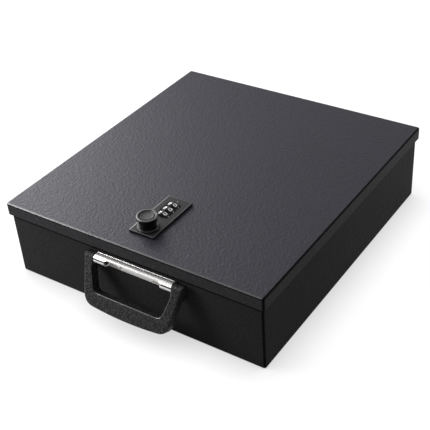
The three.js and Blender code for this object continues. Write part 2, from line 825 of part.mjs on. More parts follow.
piece(lid, 'lid_shell', lidSolid(), blackSteel());
piece(lid, 'lid_hinge_leaf', leafSolid(
  [lidLeafRear - leafSheet, lidLeafRear],
  [hingeZ + knuckleRadius + knuckleRoom, lidUnderside - seatGap], 1), zincSteel());
piece(lid, 'lock_casting', castingSolid(), blackCasting());
piece(lid, 'lock_back_cover', coverSolid(), zincSteel());
coverScrewPlaces.forEach((place, i) => {
  piece(lid, `cover_screw_${i + 1}`, coverScrewSolid(place), zincSteel());
});
piece(lid, 'clamp_frame', clampSolid(), zincSteel());
[-1, 1].forEach((side, i) => {
  piece(lid, `clamp_screw_${['left', 'right'][i]}`, clampScrewSolid(side), zincSteel());
});
piece(lid, 'knob_collar', collarSolid(), blackCasting());
piece(lid, 'dial_axle', rod(
  'y', axleRadius, [dialsY - chamberHalfLength - axleSeat, castingRear - seatGap],
  [lockX, dialAxisZ], smallFaces), zincSteel());
for (let i = 0; i <= dialCount; i += 1) {
  const y = dialPlace(i) - dialPitch / 2;
  piece(lid, `dial_spacer_${i + 1}`, ringSolid(
    'y', spacerRadius, axleRadius + seatGap, span(y, spacerLength / 2), [lockX, dialAxisZ]), blackPlastic());
}
piece(lid, 'detent_spring', springSolid(), zincSteel());
for (let i = 0; i < dialCount; i += 1) {
  piece(lid, `dial_${i + 1}`, dialSolid(i), blackPlastic());
}

const washerTop = camBottom - seatGap;
const nutTop = washerTop - camWasherSheet - seatGap;
piece(knob, 'knob', knobSolid(), blackCasting());
piece(knob, 'knob_cap', capSolid(), blackCasting());
piece(knob, 'spindle', spindleSolid(), zincSteel());
piece(knob, 'cam', camSolid(), zincSteel());
piece(knob, 'cam_washer', ringSolid(
  'z', camWasherRadius, threadRadius + seatGap, [washerTop - camWasherSheet, washerTop], knobPlace),
zincSteel());
piece(knob, 'cam_nut', nutSolid(
  'z', camNutWidth, threadRadius + seatGap, [nutTop - camNutHeight, nutTop], knobPlace), zincSteel());

piece(handle, 'handle_grip', gripSolid(), blackPlastic());
piece(handle, 'pivot_stub_left', stubSolid(-1), blackPlastic());
piece(handle, 'pivot_stub_right', stubSolid(1), blackPlastic());
handle.position.set(handleX, pivotY, pivotZ);
handle.rotation.x = Math.PI / 2 - THREE.MathUtils.degToRad(gripTilt);

export default box;
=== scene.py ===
import math
from contextlib import contextmanager

import bmesh
import bpy
from mathutils import Matrix, Vector


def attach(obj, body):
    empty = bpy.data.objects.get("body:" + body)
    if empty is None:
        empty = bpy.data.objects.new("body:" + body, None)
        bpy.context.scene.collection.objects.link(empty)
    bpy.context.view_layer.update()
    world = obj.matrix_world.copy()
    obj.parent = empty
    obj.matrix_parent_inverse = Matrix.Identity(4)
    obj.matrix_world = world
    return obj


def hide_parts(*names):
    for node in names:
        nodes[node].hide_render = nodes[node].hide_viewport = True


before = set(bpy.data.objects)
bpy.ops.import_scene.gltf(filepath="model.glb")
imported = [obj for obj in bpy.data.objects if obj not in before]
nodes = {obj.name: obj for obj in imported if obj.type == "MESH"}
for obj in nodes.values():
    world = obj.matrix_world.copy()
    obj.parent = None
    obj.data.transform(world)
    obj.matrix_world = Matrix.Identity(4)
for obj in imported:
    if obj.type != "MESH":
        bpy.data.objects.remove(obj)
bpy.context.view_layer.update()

# Sizes in millimetres. The main ones are the same as in the part's source.
MM = 0.001
SEAT_GAP = 0.3
OVERRUN = 4

# Lid and tray
LID_X, LID_Y, BOX_HEIGHT = 150, 162.5, 85
SHEET = 1.2
SKIRT_BOTTOM = 71.8
TRAY_X, TRAY_Y, RIM_TOP = 147.5, 160, 83.3
RIM_FLANGE, RIM_CORNER = 12, 6
PLAN_RADIUS, BEND_RADIUS, BEND_STEPS = 2.6, 1.7, 5
HINGE_X, HINGE_Z, KNUCKLE_RADIUS = 120, 69.8, 1.75
HINGE_END_GAP, HINGE_NOTCH_GAP = 1.5, 0.8
# Heights of the painted shade line that the lid's skirt casts on the tray's front wall
SKIRT_SHADE_LOW, SKIRT_SHADE_HIGH = SKIRT_BOTTOM - 4, SKIRT_BOTTOM - 2.2

# Lock
LOCK_X, KNOB_Y = 3.5, -128.7
PLATE_X, PLATE_FRONT, PLATE_REAR = 14.1, -140.4, -76.0
PLATE_BOTTOM, PLATE_TOP, PLATE_BEVEL, PLATE_FALL = 85.3, 87.8, 0.9, 0.24
CASTING_X, CASTING_FRONT, CASTING_REAR, CASTING_BOTTOM = 11.8, -137.4, -79.0, 66.5
CASTING_SINK = 1.5
COVER_SCREW_INSET, COVER_HOLE, COVER_HOLE_TOP = 2.6, 1.4, 71.9
CLAMP_Y, CLAMP_Z, CLAMP_HOLE, CLAMP_HOLE_DEPTH = -117.55, 78, 1.8, 4.8
INDEX_HALF, INDEX_DEPTH, INDEX_START, INDEX_END = 0.45, 0.35, 6.6, 4.0
INDEX_PAINT_HALF, INDEX_PAINT_INSET, INDEX_PAINT_FLOOR, INDEX_PAINT_TOP = 0.42, 0.1, 0.34, 0.08

# Dials and their chamber
DIALS_Y, DIAL_Z, DIAL_PITCH = -97.3, 80.8, 8.2
DIAL_RADIUS, DIAL_THICKNESS, DIAL_FLAT = 10, 6.6, 9.16
DIAL_RIDGE, DIAL_RIDGE_SHARE = 0.9, 0.62
DIAL_COUNT, DIAL_DIGITS = 3, 10
DIAL_SLOT_GAP, DIAL_SIDE_GAP = 0.4, 0.25
AXLE_RADIUS, AXLE_SEAT, CHAMBER_X, CHAMBER_HALF = 1.5, 5.3, 10.5, 13.1
FIGURE_SIZE, FIGURE_RAISE, FIGURE_SWELL, FIGURE_LIFT = 6.6, 0.09, 0.02, 0.02
FIGURE_STRETCH = (1.24, 1.06, 1)

# Knob, cap and collar
SPINDLE_RADIUS, KNOB_SOCKET = 4, 7.9
COLLAR_BOTTOM, COLLAR_TOP, COLLAR_RADIUS, COLLAR_ROUND = 88.1, 90.1, 11, 1.6
KNOB_BOTTOM, KNOB_TOP, KNOB_RADIUS, KNOB_WAIST = 90.4, 101.6, 10.4, 8.1
RIM_ROUND, CREST_ROUND, CREST_INSET = 1.1, 0.9, 1.4
SLOPE_INSET, SLOPE_DROP = 1.6, 1.6
DISH_RADIUS, DISH_FLOOR = 6.8, 99.7

# Handle channel and its screws
HANDLE_X, CHANNEL_X = 10.8, 45.3
PIVOT_Y, PIVOT_Z = -165.1, 61.9
WALL_Y = -160.3
CHANNEL_SHEET, CHANNEL_RADIUS, COVER_REACH = 1, 4.8, 2.5
FOLD_RADIUS, FLANGE_DROP, FLANGE_CORNER, COVER_END_GAP = 0.9, 8.3, 1.5, 0.15
CURL, SLIT, SLIT_ANGLE = 12.6, 1.6, 20
OPENING_SLOPE, OPENING_STEP, OPENING_RISE, CORNER_RISE = 4.4, 1.4, 0.6, 0.3
GROOVE_RADIUS, GROOVE_BACK, GROOVE_RISE = 0.75, 1.6, 0.3
BEAD_RADIUS, BEAD_BACK, BEAD_SINK, BEAD_INSET = 0.5, 0.25, 0.2, 1.6
SCREW_XS, SCREW_Z, SCREW_HEAD = (-11.35, 32.95), 58.3, 1.8
SCREW_HOLE, SCREW_HOLE_RUN = 2.05, 6
CROSS_ARM, CROSS_HALF, CROSS_DEPTH = 1.7, 0.3, 0.9

# Grip
GRIP_TILT, GRIP_THICKNESS, GRIP_BEVEL, WINDOW_BEVEL = 24.3, 9.6, 1.6, 0.9
GRIP_INNER, GRIP_ARM, GRIP_TAPER, GRIP_INNER_TAPER = 45.75, 11.4, 9, 6.3
GRIP_KNEE, GRIP_DROP, GRIP_BOW, GRIP_CORNER = 10, 49.6, 3.6, 9.9
GRIP_BAR, GRIP_INNER_CORNER, GRIP_BOW_LIFT = 17.5, 5.9, 0.6
HEEL, HEEL_RUNOUT, HEEL_INSET = 9, 2.5, 2
STUB_NECK, STUB_WALL = 3, 3.1
WINDOW_RIM, WINDOW_CORNER, HIGHLIGHT_DEPTH = 1.1, 9, 1.3

# How far the edges of each kind of piece are broken
SHEET_EDGE, CASTING_EDGE, INDEX_EDGE, DIAL_EDGE = 0.18, 0.14, 0.08, 0.22
CHANNEL_EDGE, GRIP_EDGE, SCREW_EDGE = 0.2, 0.35, 0.06
STEEL_EDGE, LOCK_PART_EDGE, SPACER_EDGE = 0.15, 0.1, 0.08

# Studio, in metres, degrees and shares of white. The lens is in millimetres.
FLOOR_SHADOW_REACH = 0.04
FLOOR_SHOWN, WORLD_SHOWN, WORLD_LIGHT = 0.96, 0.78, 0.22
PHOTO_LENS = 77.4532
PHOTO_PLACE = (0.46948, -0.66166, 0.59554)
PHOTO_TURN = (54.5983, 3.5077, 33.5495)

# Tints of the black finishes
COOL, COOLER = (1, 1, 1.03), (1, 1, 1.04)


# Finishes
class Wire:
    """A socket inside a finish. Sums and products on it add the Math nodes that work them out."""

    def __init__(self, finish, socket):
        self.finish = finish
        self.socket = socket

    def math(self, operation, first, second):
        return self.finish.node("ShaderNodeMath", {"operation": operation}, {0: first, 1: second})

    def __add__(self, other):
        return self.math("ADD", self, other)

    def __sub__(self, other):
        return self.math("SUBTRACT", self, other)

    def __rsub__(self, other):
        return self.math("SUBTRACT", other, self)

    def __mul__(self, other):
        return self.math("MULTIPLY", self, other)

    def above(self, level):
        return self.math("GREATER_THAN", self, level)

    def larger(self, other):
        return self.math("MAXIMUM", self, other)


class Finish:
    """A material on a Principled shader, built up from noise and grain, with painted light and
    shade in some.
    """

    def __init__(self, name, **even):
        self.material = bpy.data.materials.new(name)
        self.material.use_nodes = True
        self.tree = self.material.node_tree
        self.shader = self.tree.nodes["Principled BSDF"]
        for socket, value in even.items():
            self.feed(socket.replace("_", " "), value)

    def node(self, kind, settings=None, sockets=None, outlet=0):
        made = self.tree.nodes.new(kind)
        for setting, value in (settings or {}).items():
            setattr(made, setting, value)
        for socket, value in (sockets or {}).items():
            self.join(made.inputs[socket], value)
        return Wire(self, made.outputs[outlet])

    def join(self, inlet, value):
        if isinstance(value, Wire):
            self.tree.links.new(value.socket, inlet)
        else:
            inlet.default_value = value

    def feed(self, socket, value):
        self.join(self.shader.inputs[socket], value)

    def place(self, scale=(1, 1, 1)):
        """Object coordinates in metres, stretched where the grain runs one way."""
        spot = self.node("ShaderNodeTexCoord", outlet="Object")
        return self.node("ShaderNodeMapping", {}, {"Vector": spot, "Scale": scale})

    def noise(self, size, detail=2.0, roughness=0.5, stretch=(1, 1, 1)):
        """Noise whose lumps are about this many millimetres across."""
        return self.node("ShaderNodeTexNoise", {}, {
            "Vector": self.place(stretch), "Scale": 1 / (size * MM), "Detail": detail,
            "Roughness": roughness})

    def pebbles(self, size, smoothness=0.6):
        """Rounded cells with creases between them, as in leather grain."""
        return self.node("ShaderNodeTexVoronoi", {"feature": "SMOOTH_F1"}, {
            "Vector": self.place(), "Scale": 1 / (size * MM), "Smoothness": smoothness})

    def blend(self, share, low, high):
        """A colour that goes from low to high as the share goes from 0 to 1."""
        return self.node("ShaderNodeMix", {"data_type": "RGBA"}, {
            "Factor": share, 6: low, 7: high}, outlet=2)

    def span(self, value, low, high):
        """A number that goes from low to high as the value goes from 0 to 1."""
        return value * (high - low) + low

    def shades(self, share, level, darkest, lightest, tint):
        """Base colour between two shares of a level of grey."""
        low, high = grey(level * darkest, tint), grey(level * lightest, tint)
        self.feed("Base Color", self.blend(share, low, high))

    def relief(self, height, depth, strength=1.0):
        bump = self.node("ShaderNodeBump", {}, {
            "Height": height, "Distance": depth * MM, "Strength": strength})
        self.feed("Normal", bump)


def grey(level, tint=(1, 1, 1)):
    return tuple(level * part for part in tint) + (1,)


def powder_coat(name, level, tint, gloss, skirt_shade_band=None):
    """Black powder coat with a fine pebbled skin. Between two heights on the front wall it has
    the skirt's painted shade: a thin dark line."""
    paint = Finish(name, Specular_IOR_Level=gloss)
    pebble = paint.pebbles(2.3)
    mottle = paint.noise(3.2, 3, 0.6)
    cloud = paint.noise(45, 2)
    speck = paint.noise(0.8, 2)
    share = mottle * 1.5 - 0.25 + (cloud - 0.5) * 0.3
    colour = paint.blend(share, grey(level * 0.7, tint), grey(level * 1.3, tint))
    if skirt_shade_band:
        low, high = skirt_shade_band
        spot = paint.place()
        height = paint.node("ShaderNodeSeparateXYZ", {}, {0: spot}, outlet="Z")
        depth = paint.node("ShaderNodeSeparateXYZ", {}, {0: spot}, outlet="Y")
        on_front = 1 - depth.above((0.5 - TRAY_Y) * MM)
        line = (height.above(low * MM) - height.above(high * MM)) * on_front
        # Painted shade: a thin dark line along the front wall, where the lid's skirt shades it
        colour = paint.blend(line, colour, grey(0.003))
    paint.feed("Base Color", colour)
    paint.feed("Roughness", paint.span(mottle, 0.46, 0.60))
    paint.relief(pebble * 1.4 + mottle * 0.9 + speck * 0.25, 0.2)
    return paint.material


def moulded_grain(name, level, tint, gloss):
    """Moulded plastic with a leather grain."""
    plastic = Finish(name, Specular_IOR_Level=gloss)
    pebble = plastic.pebbles(1.9, 0.4)
    fold = plastic.noise(2.2, 3, 0.7)
    plastic.shades(fold * 4.5 - 1.75, level, 0.3, 1.8, tint)
    plastic.feed("Roughness", plastic.span(fold, 0.34, 0.52))
    plastic.relief(pebble * 1.2 + fold * 1.3, 0.42)
    return plastic.material


def smooth_plastic(name, level, shine, gloss=0.4):
    plastic = Finish(name, Specular_IOR_Level=gloss)
    haze = plastic.noise(6, 3)
    speck = plastic.noise(0.4, 2)
    plastic.shades(haze, level, 0.85, 1.2, COOL)
    plastic.feed("Roughness", plastic.span(haze, shine - 0.04, shine + 0.06))
    plastic.relief(speck, 0.008, 0.5)
    return plastic.material


def satin_casting(name, level, shine, gloss):
    """Black coated zinc casting, satin, with a faint orange peel."""
    metal = Finish(name, Specular_IOR_Level=gloss)
    peel = metal.noise(0.9, 2)
    cloud = metal.noise(9, 3)
    metal.shades(cloud, level, 0.8, 1.2, COOLER)
    metal.feed("Roughness", metal.span(peel, shine - 0.05, shine + 0.08))
    metal.relief(peel, 0.012, 0.6)
    return metal.material


def bright_metal(name, tone, shine, along=(1, 1, 1), scratch=0.05, plating=1.0):
    """Plated steel. The polish runs along one axis, as the stretch says."""
    metal = Finish(name, Metallic=plating)
    grain = metal.noise(1.6, 3, 0.6, along)
    metal.feed("Base Color", metal.blend(grain * 1.6 - 0.3, grey(0.82, tone), grey(1, tone)))
    metal.feed("Roughness", metal.span(grain, shine - scratch, shine + scratch))
    metal.relief(grain, 0.006, 0.35)
    return metal.material


def zinc(name):
    """Zinc-plated steel with its soft spangle."""
    metal = Finish(name, Metallic=1.0)
    spangle = metal.node("ShaderNodeTexVoronoi", {"feature": "F1"}, {
        "Vector": metal.place(), "Scale": 260.0}, outlet="Distance")
    cloud = metal.noise(5, 3)
    dull, bright = (0.15, 0.153, 0.16, 1), (0.27, 0.273, 0.28, 1)
    metal.feed("Base Color", metal.blend(cloud * 1.6 - 0.3, dull, bright))
    metal.feed("Roughness", metal.span(spangle, 0.32, 0.5))
    metal.relief(cloud, 0.01, 0.4)
    return metal.material


def figure_paint(name, level):
    paint = Finish(name)
    fleck = paint.noise(0.35, 3)
    paint.shades(fleck, level, 0.88, 1.04, (1, 1, 0.98))
    paint.feed("Roughness", paint.span(fleck, 0.4, 0.55))
    paint.relief(fleck, 0.01, 0.4)
    return paint.material


# Sheet steel
lid_paint = powder_coat("lid_paint", level=0.011, tint=(0.98, 0.92, 1.4), gloss=0.235)
lid_shader = lid_paint.node_tree.nodes["Principled BSDF"]
lid_shader.inputs["Specular Tint"].default_value = (0.95, 0.93, 1, 1)
lid_skirt_paint = powder_coat("lid_skirt_paint", level=0.024, tint=(1, 0.98, 1.05), gloss=0.02)
# The lid's front bend: a glossier black whose lighter colour is a painted highlight
bend_highlight_black = satin_casting("bend_highlight_black", level=0.045, shine=0.26, gloss=0.42)
tray_paint = powder_coat("tray_paint", level=0.019, tint=(1.02, 0.97, 1.03), gloss=0.009,
                         skirt_shade_band=(SKIRT_SHADE_LOW, SKIRT_SHADE_HIGH))
edge_shade = satin_casting("edge_shade", level=0.002, shine=0.5, gloss=0.02)

# Lock
lock_black = satin_casting("lock_black", level=0.010, shine=0.50, gloss=0.13)
# Lighter blacks for the plate's bevels, painted highlights: all round, and brighter on the left rim
plate_left_highlight = satin_casting("plate_left_highlight", level=0.05, shine=0.34, gloss=1.1)
plate_bevel_highlight = satin_casting("plate_bevel_highlight", level=0.07, shine=0.55, gloss=0.1)
collar_black = satin_casting("collar_black", level=0.005, shine=0.26, gloss=0.16)
knob_black = satin_casting("knob_black", level=0.004, shine=0.30, gloss=0.12)
# The knob's top: a lighter, glossier black than its sides, as painted light
knob_top_black = satin_casting("knob_top_black", level=0.03, shine=0.34, gloss=0.5)
cap_black = satin_casting("cap_black", level=0.024, shine=0.42, gloss=0.18)
dial_plastic = smooth_plastic("dial_plastic", level=0.005, shine=0.3, gloss=0.12)
spacer_plastic = smooth_plastic("spacer_plastic", level=0.02, shine=0.4)
white_figures = figure_paint("white_figures", level=0.82)
index_paint = figure_paint("index_paint", level=0.16)

# Handle
grip_plastic = moulded_grain("grip_plastic", level=0.014, tint=COOLER, gloss=0.1)
# Lighter, glossier black on the grip's edges: a painted highlight
grip_highlight_edge = smooth_plastic("grip_highlight_edge", level=0.025, shine=0.30, gloss=0.6)
LONG_POLISH = (0.05, 1, 1)
chrome = bright_metal(
    "chrome", (0.78, 0.765, 0.76), shine=0.24, along=LONG_POLISH, scratch=0.03, plating=0.62)
groove_shade = bright_metal(
    "groove_shade", (0.04, 0.039, 0.038), shine=0.4, along=LONG_POLISH, scratch=0.06, plating=0.5)
screw_chrome = bright_metal("screw_chrome", (0.62, 0.60, 0.57), shine=0.26)
zinc_plate = zinc("zinc_plate")


# Modelling
def alone(piece):
    """Leaves this piece as the only one selected."""
    bpy.ops.object.select_all(action="DESELECT")
    piece.select_set(True)
    bpy.context.view_layer.objects.active = piece
    return piece


@contextmanager
def editing(piece, kind="FACE"):
    alone(piece)
    bpy.ops.object.mode_set(mode="EDIT")
    bpy.ops.mesh.select_mode(type=kind)
    bpy.ops.mesh.select_all(action="DESELECT")
    yield
    bpy.ops.object.mode_set(mode="OBJECT")


def pick(piece, kind, test):
    """Selects the faces, edges or verts that pass the test, in edit mode."""
    mesh = bmesh.from_edit_mesh(piece.data)
    for part in getattr(mesh, kind):
        part.select_set(bool(test(part)))
    bmesh.update_edit_mesh(piece.data)


def bevel_edges(piece, test, width, steps):
    """Rounds the edges that pass the test, in edit mode."""
    pick(piece, "edges", test)
    bpy.ops.mesh.bevel(offset=width * MM, segments=steps, affect="EDGES")


def same(value, wanted, slack=0.02):
    return abs(value - wanted * MM) < slack * MM


def level_edge(z):
    return lambda edge: all(same(vert.co.z, z) for vert in edge.verts)


def upright(edge):
    a, b = (vert.co for vert in edge.verts)
    return abs(a.x - b.x) < 1e-6 and abs(a.y - b.y) < 1e-6


def along_y(edge):
    a, b = (vert.co for vert in edge.verts)
    return abs(a.x - b.x) < 1e-6 and abs(a.z - b.z) < 1e-6


def around(middle, half):
    """Both ends of a length that lies evenly about its middle."""
    return middle - half, middle + half


def past(low, high):
    """Both ends of a cut, run out past the faces that it goes through."""
    return low - OVERRUN, high + OVERRUN


def mirrored(points):
    """The same points on the other side of x = 0, in the order that carries an outline on."""
    return [(-x, y) for x, y in reversed(points)]


def settle(piece):
    """Puts the piece's place in its mesh."""
    alone(piece)
    bpy.ops.object.transform_apply(location=True, rotation=True, scale=True)
    return piece


def block(name, xs, ys, zs):
    low, high = (Vector(corner) * MM for corner in zip(xs, ys, zs))
    bpy.ops.object.select_all(action="DESELECT")
    bpy.ops.mesh.primitive_cube_add(size=1, location=(low + high) / 2)
    piece = bpy.context.active_object
    piece.name = name
    piece.scale = high - low
    return settle(piece)


TURNS = {"x": (0, math.pi / 2, 0), "y": (-math.pi / 2, 0, 0), "z": (0, 0, 0)}


def rod(name, axis, radius, ends, centre, faces=48):
    """A round bar along an axis. The centre is given on the other two axes, in their order."""
    middle = list(centre)
    middle.insert("xyz".index(axis), sum(ends) / 2)
    bpy.ops.object.select_all(action="DESELECT")
    bpy.ops.mesh.primitive_cylinder_add(
        vertices=faces, radius=radius * MM, depth=(ends[1] - ends[0]) * MM,
        location=Vector(middle) * MM, rotation=TURNS[axis])
    piece = bpy.context.active_object
    piece.name = name
    return settle(piece)


def trace(name, points, closed=False):
    """Draws a line of edges through the points by extruding one corner from place to place."""
    bpy.ops.object.select_all(action="DESELECT")
    bpy.ops.mesh.primitive_plane_add(size=MM)
    piece = bpy.context.active_object
    piece.name = name
    spots = [Vector(point) * MM for point in points]
    with editing(piece, "VERT"):
        pick(piece, "verts", lambda vert: vert.index > 0)
        bpy.ops.mesh.delete(type="VERT")
        bpy.ops.mesh.select_all(action="SELECT")
        start = bmesh.from_edit_mesh(piece.data).verts[:][0].co.copy()
        bpy.ops.transform.translate(value=spots[0] - start)
        for before, after in zip(spots, spots[1:]):
            bpy.ops.mesh.extrude_region_move(TRANSFORM_OT_translate={"value": after - before})
        if closed:
            bpy.ops.mesh.select_all(action="SELECT")
            bpy.ops.mesh.edge_face_add()
    return piece


def draw_out(piece, kind, move):
    """Extrudes the whole of an outline by a move, and turns the normals outward."""
    with editing(piece, kind):
        bpy.ops.mesh.select_all(action="SELECT")
        bpy.ops.mesh.extrude_region_move(TRANSFORM_OT_translate={"value": move})
        bpy.ops.mesh.select_all(action="SELECT")
        bpy.ops.mesh.normals_make_consistent(inside=False)
    return piece


def prism(name, axis, points, ends):
    """A closed outline on the two other axes, extruded along this one."""
    at = "xyz".index(axis)
    outline = []
    for point in points:
        spot = list(point)
        spot.insert(at, ends[0])
        outline.append(spot)
    move = [0, 0, 0]
    move[at] = (ends[1] - ends[0]) * MM
    return draw_out(trace(name, outline, closed=True), "FACE", move)


def lathe(name, profile, centre, steps=96):
    """Spins a profile of radius and height round an upright axis."""
    x, y = centre
    piece = trace(name, [(x + radius, y, height) for radius, height in profile])
    with editing(piece, "VERT"):
        bpy.ops.mesh.select_all(action="SELECT")
        bpy.ops.mesh.spin(
            steps=steps, angle=2 * math.pi, center=(x * MM, y * MM, 0), axis=(0, 0, 1))
        bpy.ops.mesh.select_all(action="SELECT")
        bpy.ops.mesh.remove_doubles(threshold=1e-6)
        bpy.ops.mesh.normals_make_consistent(inside=False)
    return piece


def apply(piece, kind, **settings):
    modifier = piece.modifiers.new(kind.lower(), kind)
    for setting, value in settings.items():
        setattr(modifier, setting, value)
    alone(piece)
    bpy.ops.object.modifier_apply(modifier=modifier.name)
    return piece


def combine(operation, piece, tools):
    for tool in tools:
        apply(piece, "BOOLEAN", operation=operation, object=tool, solver="EXACT")
        bpy.data.objects.remove(tool)
    return piece


def cut(piece, *tools):
    return combine("DIFFERENCE", piece, tools)


def add(piece, *tools):
    return combine("UNION", piece, tools)


def trim(piece, *tools):
    return combine("INTERSECT", piece, tools)


def smooth(piece, angle=32):
    """Rounds the shading over the small facets, and keeps the broad flats flat."""
    alone(piece)
    bpy.ops.object.shade_smooth_by_angle(angle=math.radians(angle))
    return apply(piece, "WEIGHTED_NORMAL", weight=100, keep_sharp=True)


def clean(piece, angle=0.5):
    """Takes out the doubles and the needless edges that the cuts leave."""
    with editing(piece):
        bpy.ops.mesh.select_all(action="SELECT")
        bpy.ops.mesh.remove_doubles(threshold=2e-6)
        bpy.ops.mesh.dissolve_limited(angle_limit=math.radians(angle))
    return piece


def break_edges(piece, width, segments=2, angle=34):
    """Rounds every sharp edge a little, as tumbling and paint do."""
    clean(piece)
    apply(piece, "BEVEL", width=width * MM, segments=segments, limit_method="ANGLE",
          angle_limit=math.radians(angle), use_clamp_overlap=True, harden_normals=False)
    return smooth(piece)


def arc(centre, radius, start, end, steps=8):
    """Points on a circle, from one angle in degrees to the other."""
    a, b = centre
    turns = [math.radians(start + (end - start) * i / steps) for i in range(steps + 1)]
    return [(a + radius * math.cos(turn), b + radius * math.sin(turn)) for turn in turns]


def bow(start, middle, end, steps=12):
    """Points on a curve that leaves start and reaches end, both aimed at middle."""
    points = []
    for i in range(1, steps + 1):
        t = i / steps
        points.append(tuple(
            (1 - t) ** 2 * a + 2 * t * (1 - t) * m + t * t * b
            for a, m, b in zip(start, middle, end)))
    return points


def dress(piece, material, test):
    """Gives the faces that pass the test a finish of their own."""
    piece.data.materials.append(material)
    for face in piece.data.polygons:
        if test(face):
            face.material_index = len(piece.data.materials) - 1
    return piece


def finished(piece, material, body, slot, *replaced):
    piece.data.materials.clear()
    piece.data.materials.append(material)
    for face in piece.data.polygons:
        face.material_index = 0
    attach(piece, body)
    if replaced:
        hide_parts(*replaced)
    return piece


def refined(node, material, body, slot, edge, cuts=()):
    """A CAD piece whose shape is right, with its facets joined and its edges broken."""
    piece = bpy.data.objects.new(node + "_finished", nodes[node].data.copy())
    bpy.context.scene.collection.objects.link(piece)
    clean(piece)
    if cuts:
        cut(piece, *cuts)
    break_edges(piece, edge, angle=40)
    return finished(piece, material, body, slot, node)


def upright_corner(face):
    """The middle of a folded corner's outside, which looks darker than the walls beside it."""
    normal, spot = face.normal, face.center
    return (abs(normal.z) < 0.1 and min(abs(normal.x), abs(normal.y)) > 0.4
            and normal.x * spot.x > 0 and normal.y * spot.y > 0)


# Lid: folded from one sheet, with a skirt on all four sides
def make_lid():
    lid = block("lid_panel", (-LID_X, LID_X), (-LID_Y, LID_Y), (SKIRT_BOTTOM, BOX_HEIGHT))
    with editing(lid, "EDGE"):
        bevel_edges(lid, upright, PLAN_RADIUS, BEND_STEPS)
        bevel_edges(lid, level_edge(BOX_HEIGHT), BEND_RADIUS, BEND_STEPS)
    with editing(lid):
        pick(lid, "faces", lambda face: face.normal.z < -0.9)
        bpy.ops.mesh.delete(type="FACE")
    apply(lid, "SOLIDIFY", thickness=SHEET * MM, offset=-1, use_even_offset=True)
    cut(lid, block(
        "lock_opening", around(LOCK_X, CASTING_X + SEAT_GAP),
        (CASTING_FRONT - SEAT_GAP, CASTING_REAR + SEAT_GAP), around(BOX_HEIGHT, OVERRUN)))
    break_edges(lid, SHEET_EDGE, angle=50)
    finished(lid, lid_skirt_paint, "lid", "lid_paint", "lid_shell")

    def on_top(face):
        return face.center.z > (BOX_HEIGHT - BEND_RADIUS - 0.1) * MM

    def on_bend(face):
        return on_top(face) and 0.1 < face.normal.z < 0.995

    def right_bend(face):
        return on_bend(face) and face.normal.x > 0.1

    def front_bend(face):
        return on_bend(face) and face.normal.y < -0.15

    # The flat top takes the lid paint. The right bend, the lower front bend and the folded corners
    # take painted shade, and the upper front bend a painted highlight.
    dress(lid, lid_paint, lambda face: on_top(face) and face.normal.z > 0.98)
    dress(lid, edge_shade, lambda face: upright_corner(face) or right_bend(face)
          or (front_bend(face) and face.normal.z < 0.5))
    return dress(lid, bend_highlight_black, lambda face: front_bend(face) and not right_bend(face)
                 and face.normal.z >= 0.5)


# Tray: folded sheet with a rim turned in on the front and the sides
def make_tray():
    tray = block("tray_body", (-TRAY_X, TRAY_X), (-TRAY_Y, TRAY_Y), (0, RIM_TOP))
    with editing(tray, "EDGE"):
        bevel_edges(tray, upright, PLAN_RADIUS, BEND_STEPS)
        bevel_edges(tray, lambda edge: level_edge(0)(edge) or level_edge(RIM_TOP)(edge),
                    BEND_RADIUS, BEND_STEPS)
    apply(tray, "SOLIDIFY", thickness=SHEET * MM, offset=-1, use_even_offset=True)
    rim_depth = around(RIM_TOP, OVERRUN)
    mouth = block(
        "mouth", around(0, TRAY_X - RIM_FLANGE), around(0, TRAY_Y - RIM_FLANGE), rim_depth)
    with editing(mouth, "EDGE"):
        bevel_edges(mouth, upright, RIM_CORNER, 6)
    cut(tray, mouth,
        block("rear_rim", around(0, TRAY_X - PLAN_RADIUS),
              (TRAY_Y - RIM_FLANGE - RIM_CORNER, TRAY_Y - SHEET), rim_depth),
        block("hinge_notch", around(0, HINGE_X + HINGE_END_GAP), past(TRAY_Y - SHEET, TRAY_Y),
              (HINGE_Z - KNUCKLE_RADIUS - HINGE_NOTCH_GAP, RIM_TOP + OVERRUN)))
    for x in SCREW_XS:
        cut(tray, rod("screw_hole", "y", SCREW_HOLE, past(-TRAY_Y, SHEET - TRAY_Y),
                      (x, SCREW_Z), 32))
    break_edges(tray, SHEET_EDGE, angle=50)
    finished(tray, tray_paint, "tray", "tray_paint", "base_tray")
    return dress(tray, edge_shade, upright_corner)


# Lock: the face plate and the chamber behind it are one casting
def dial_y(index):
    return DIALS_Y + (index - 1) * DIAL_PITCH


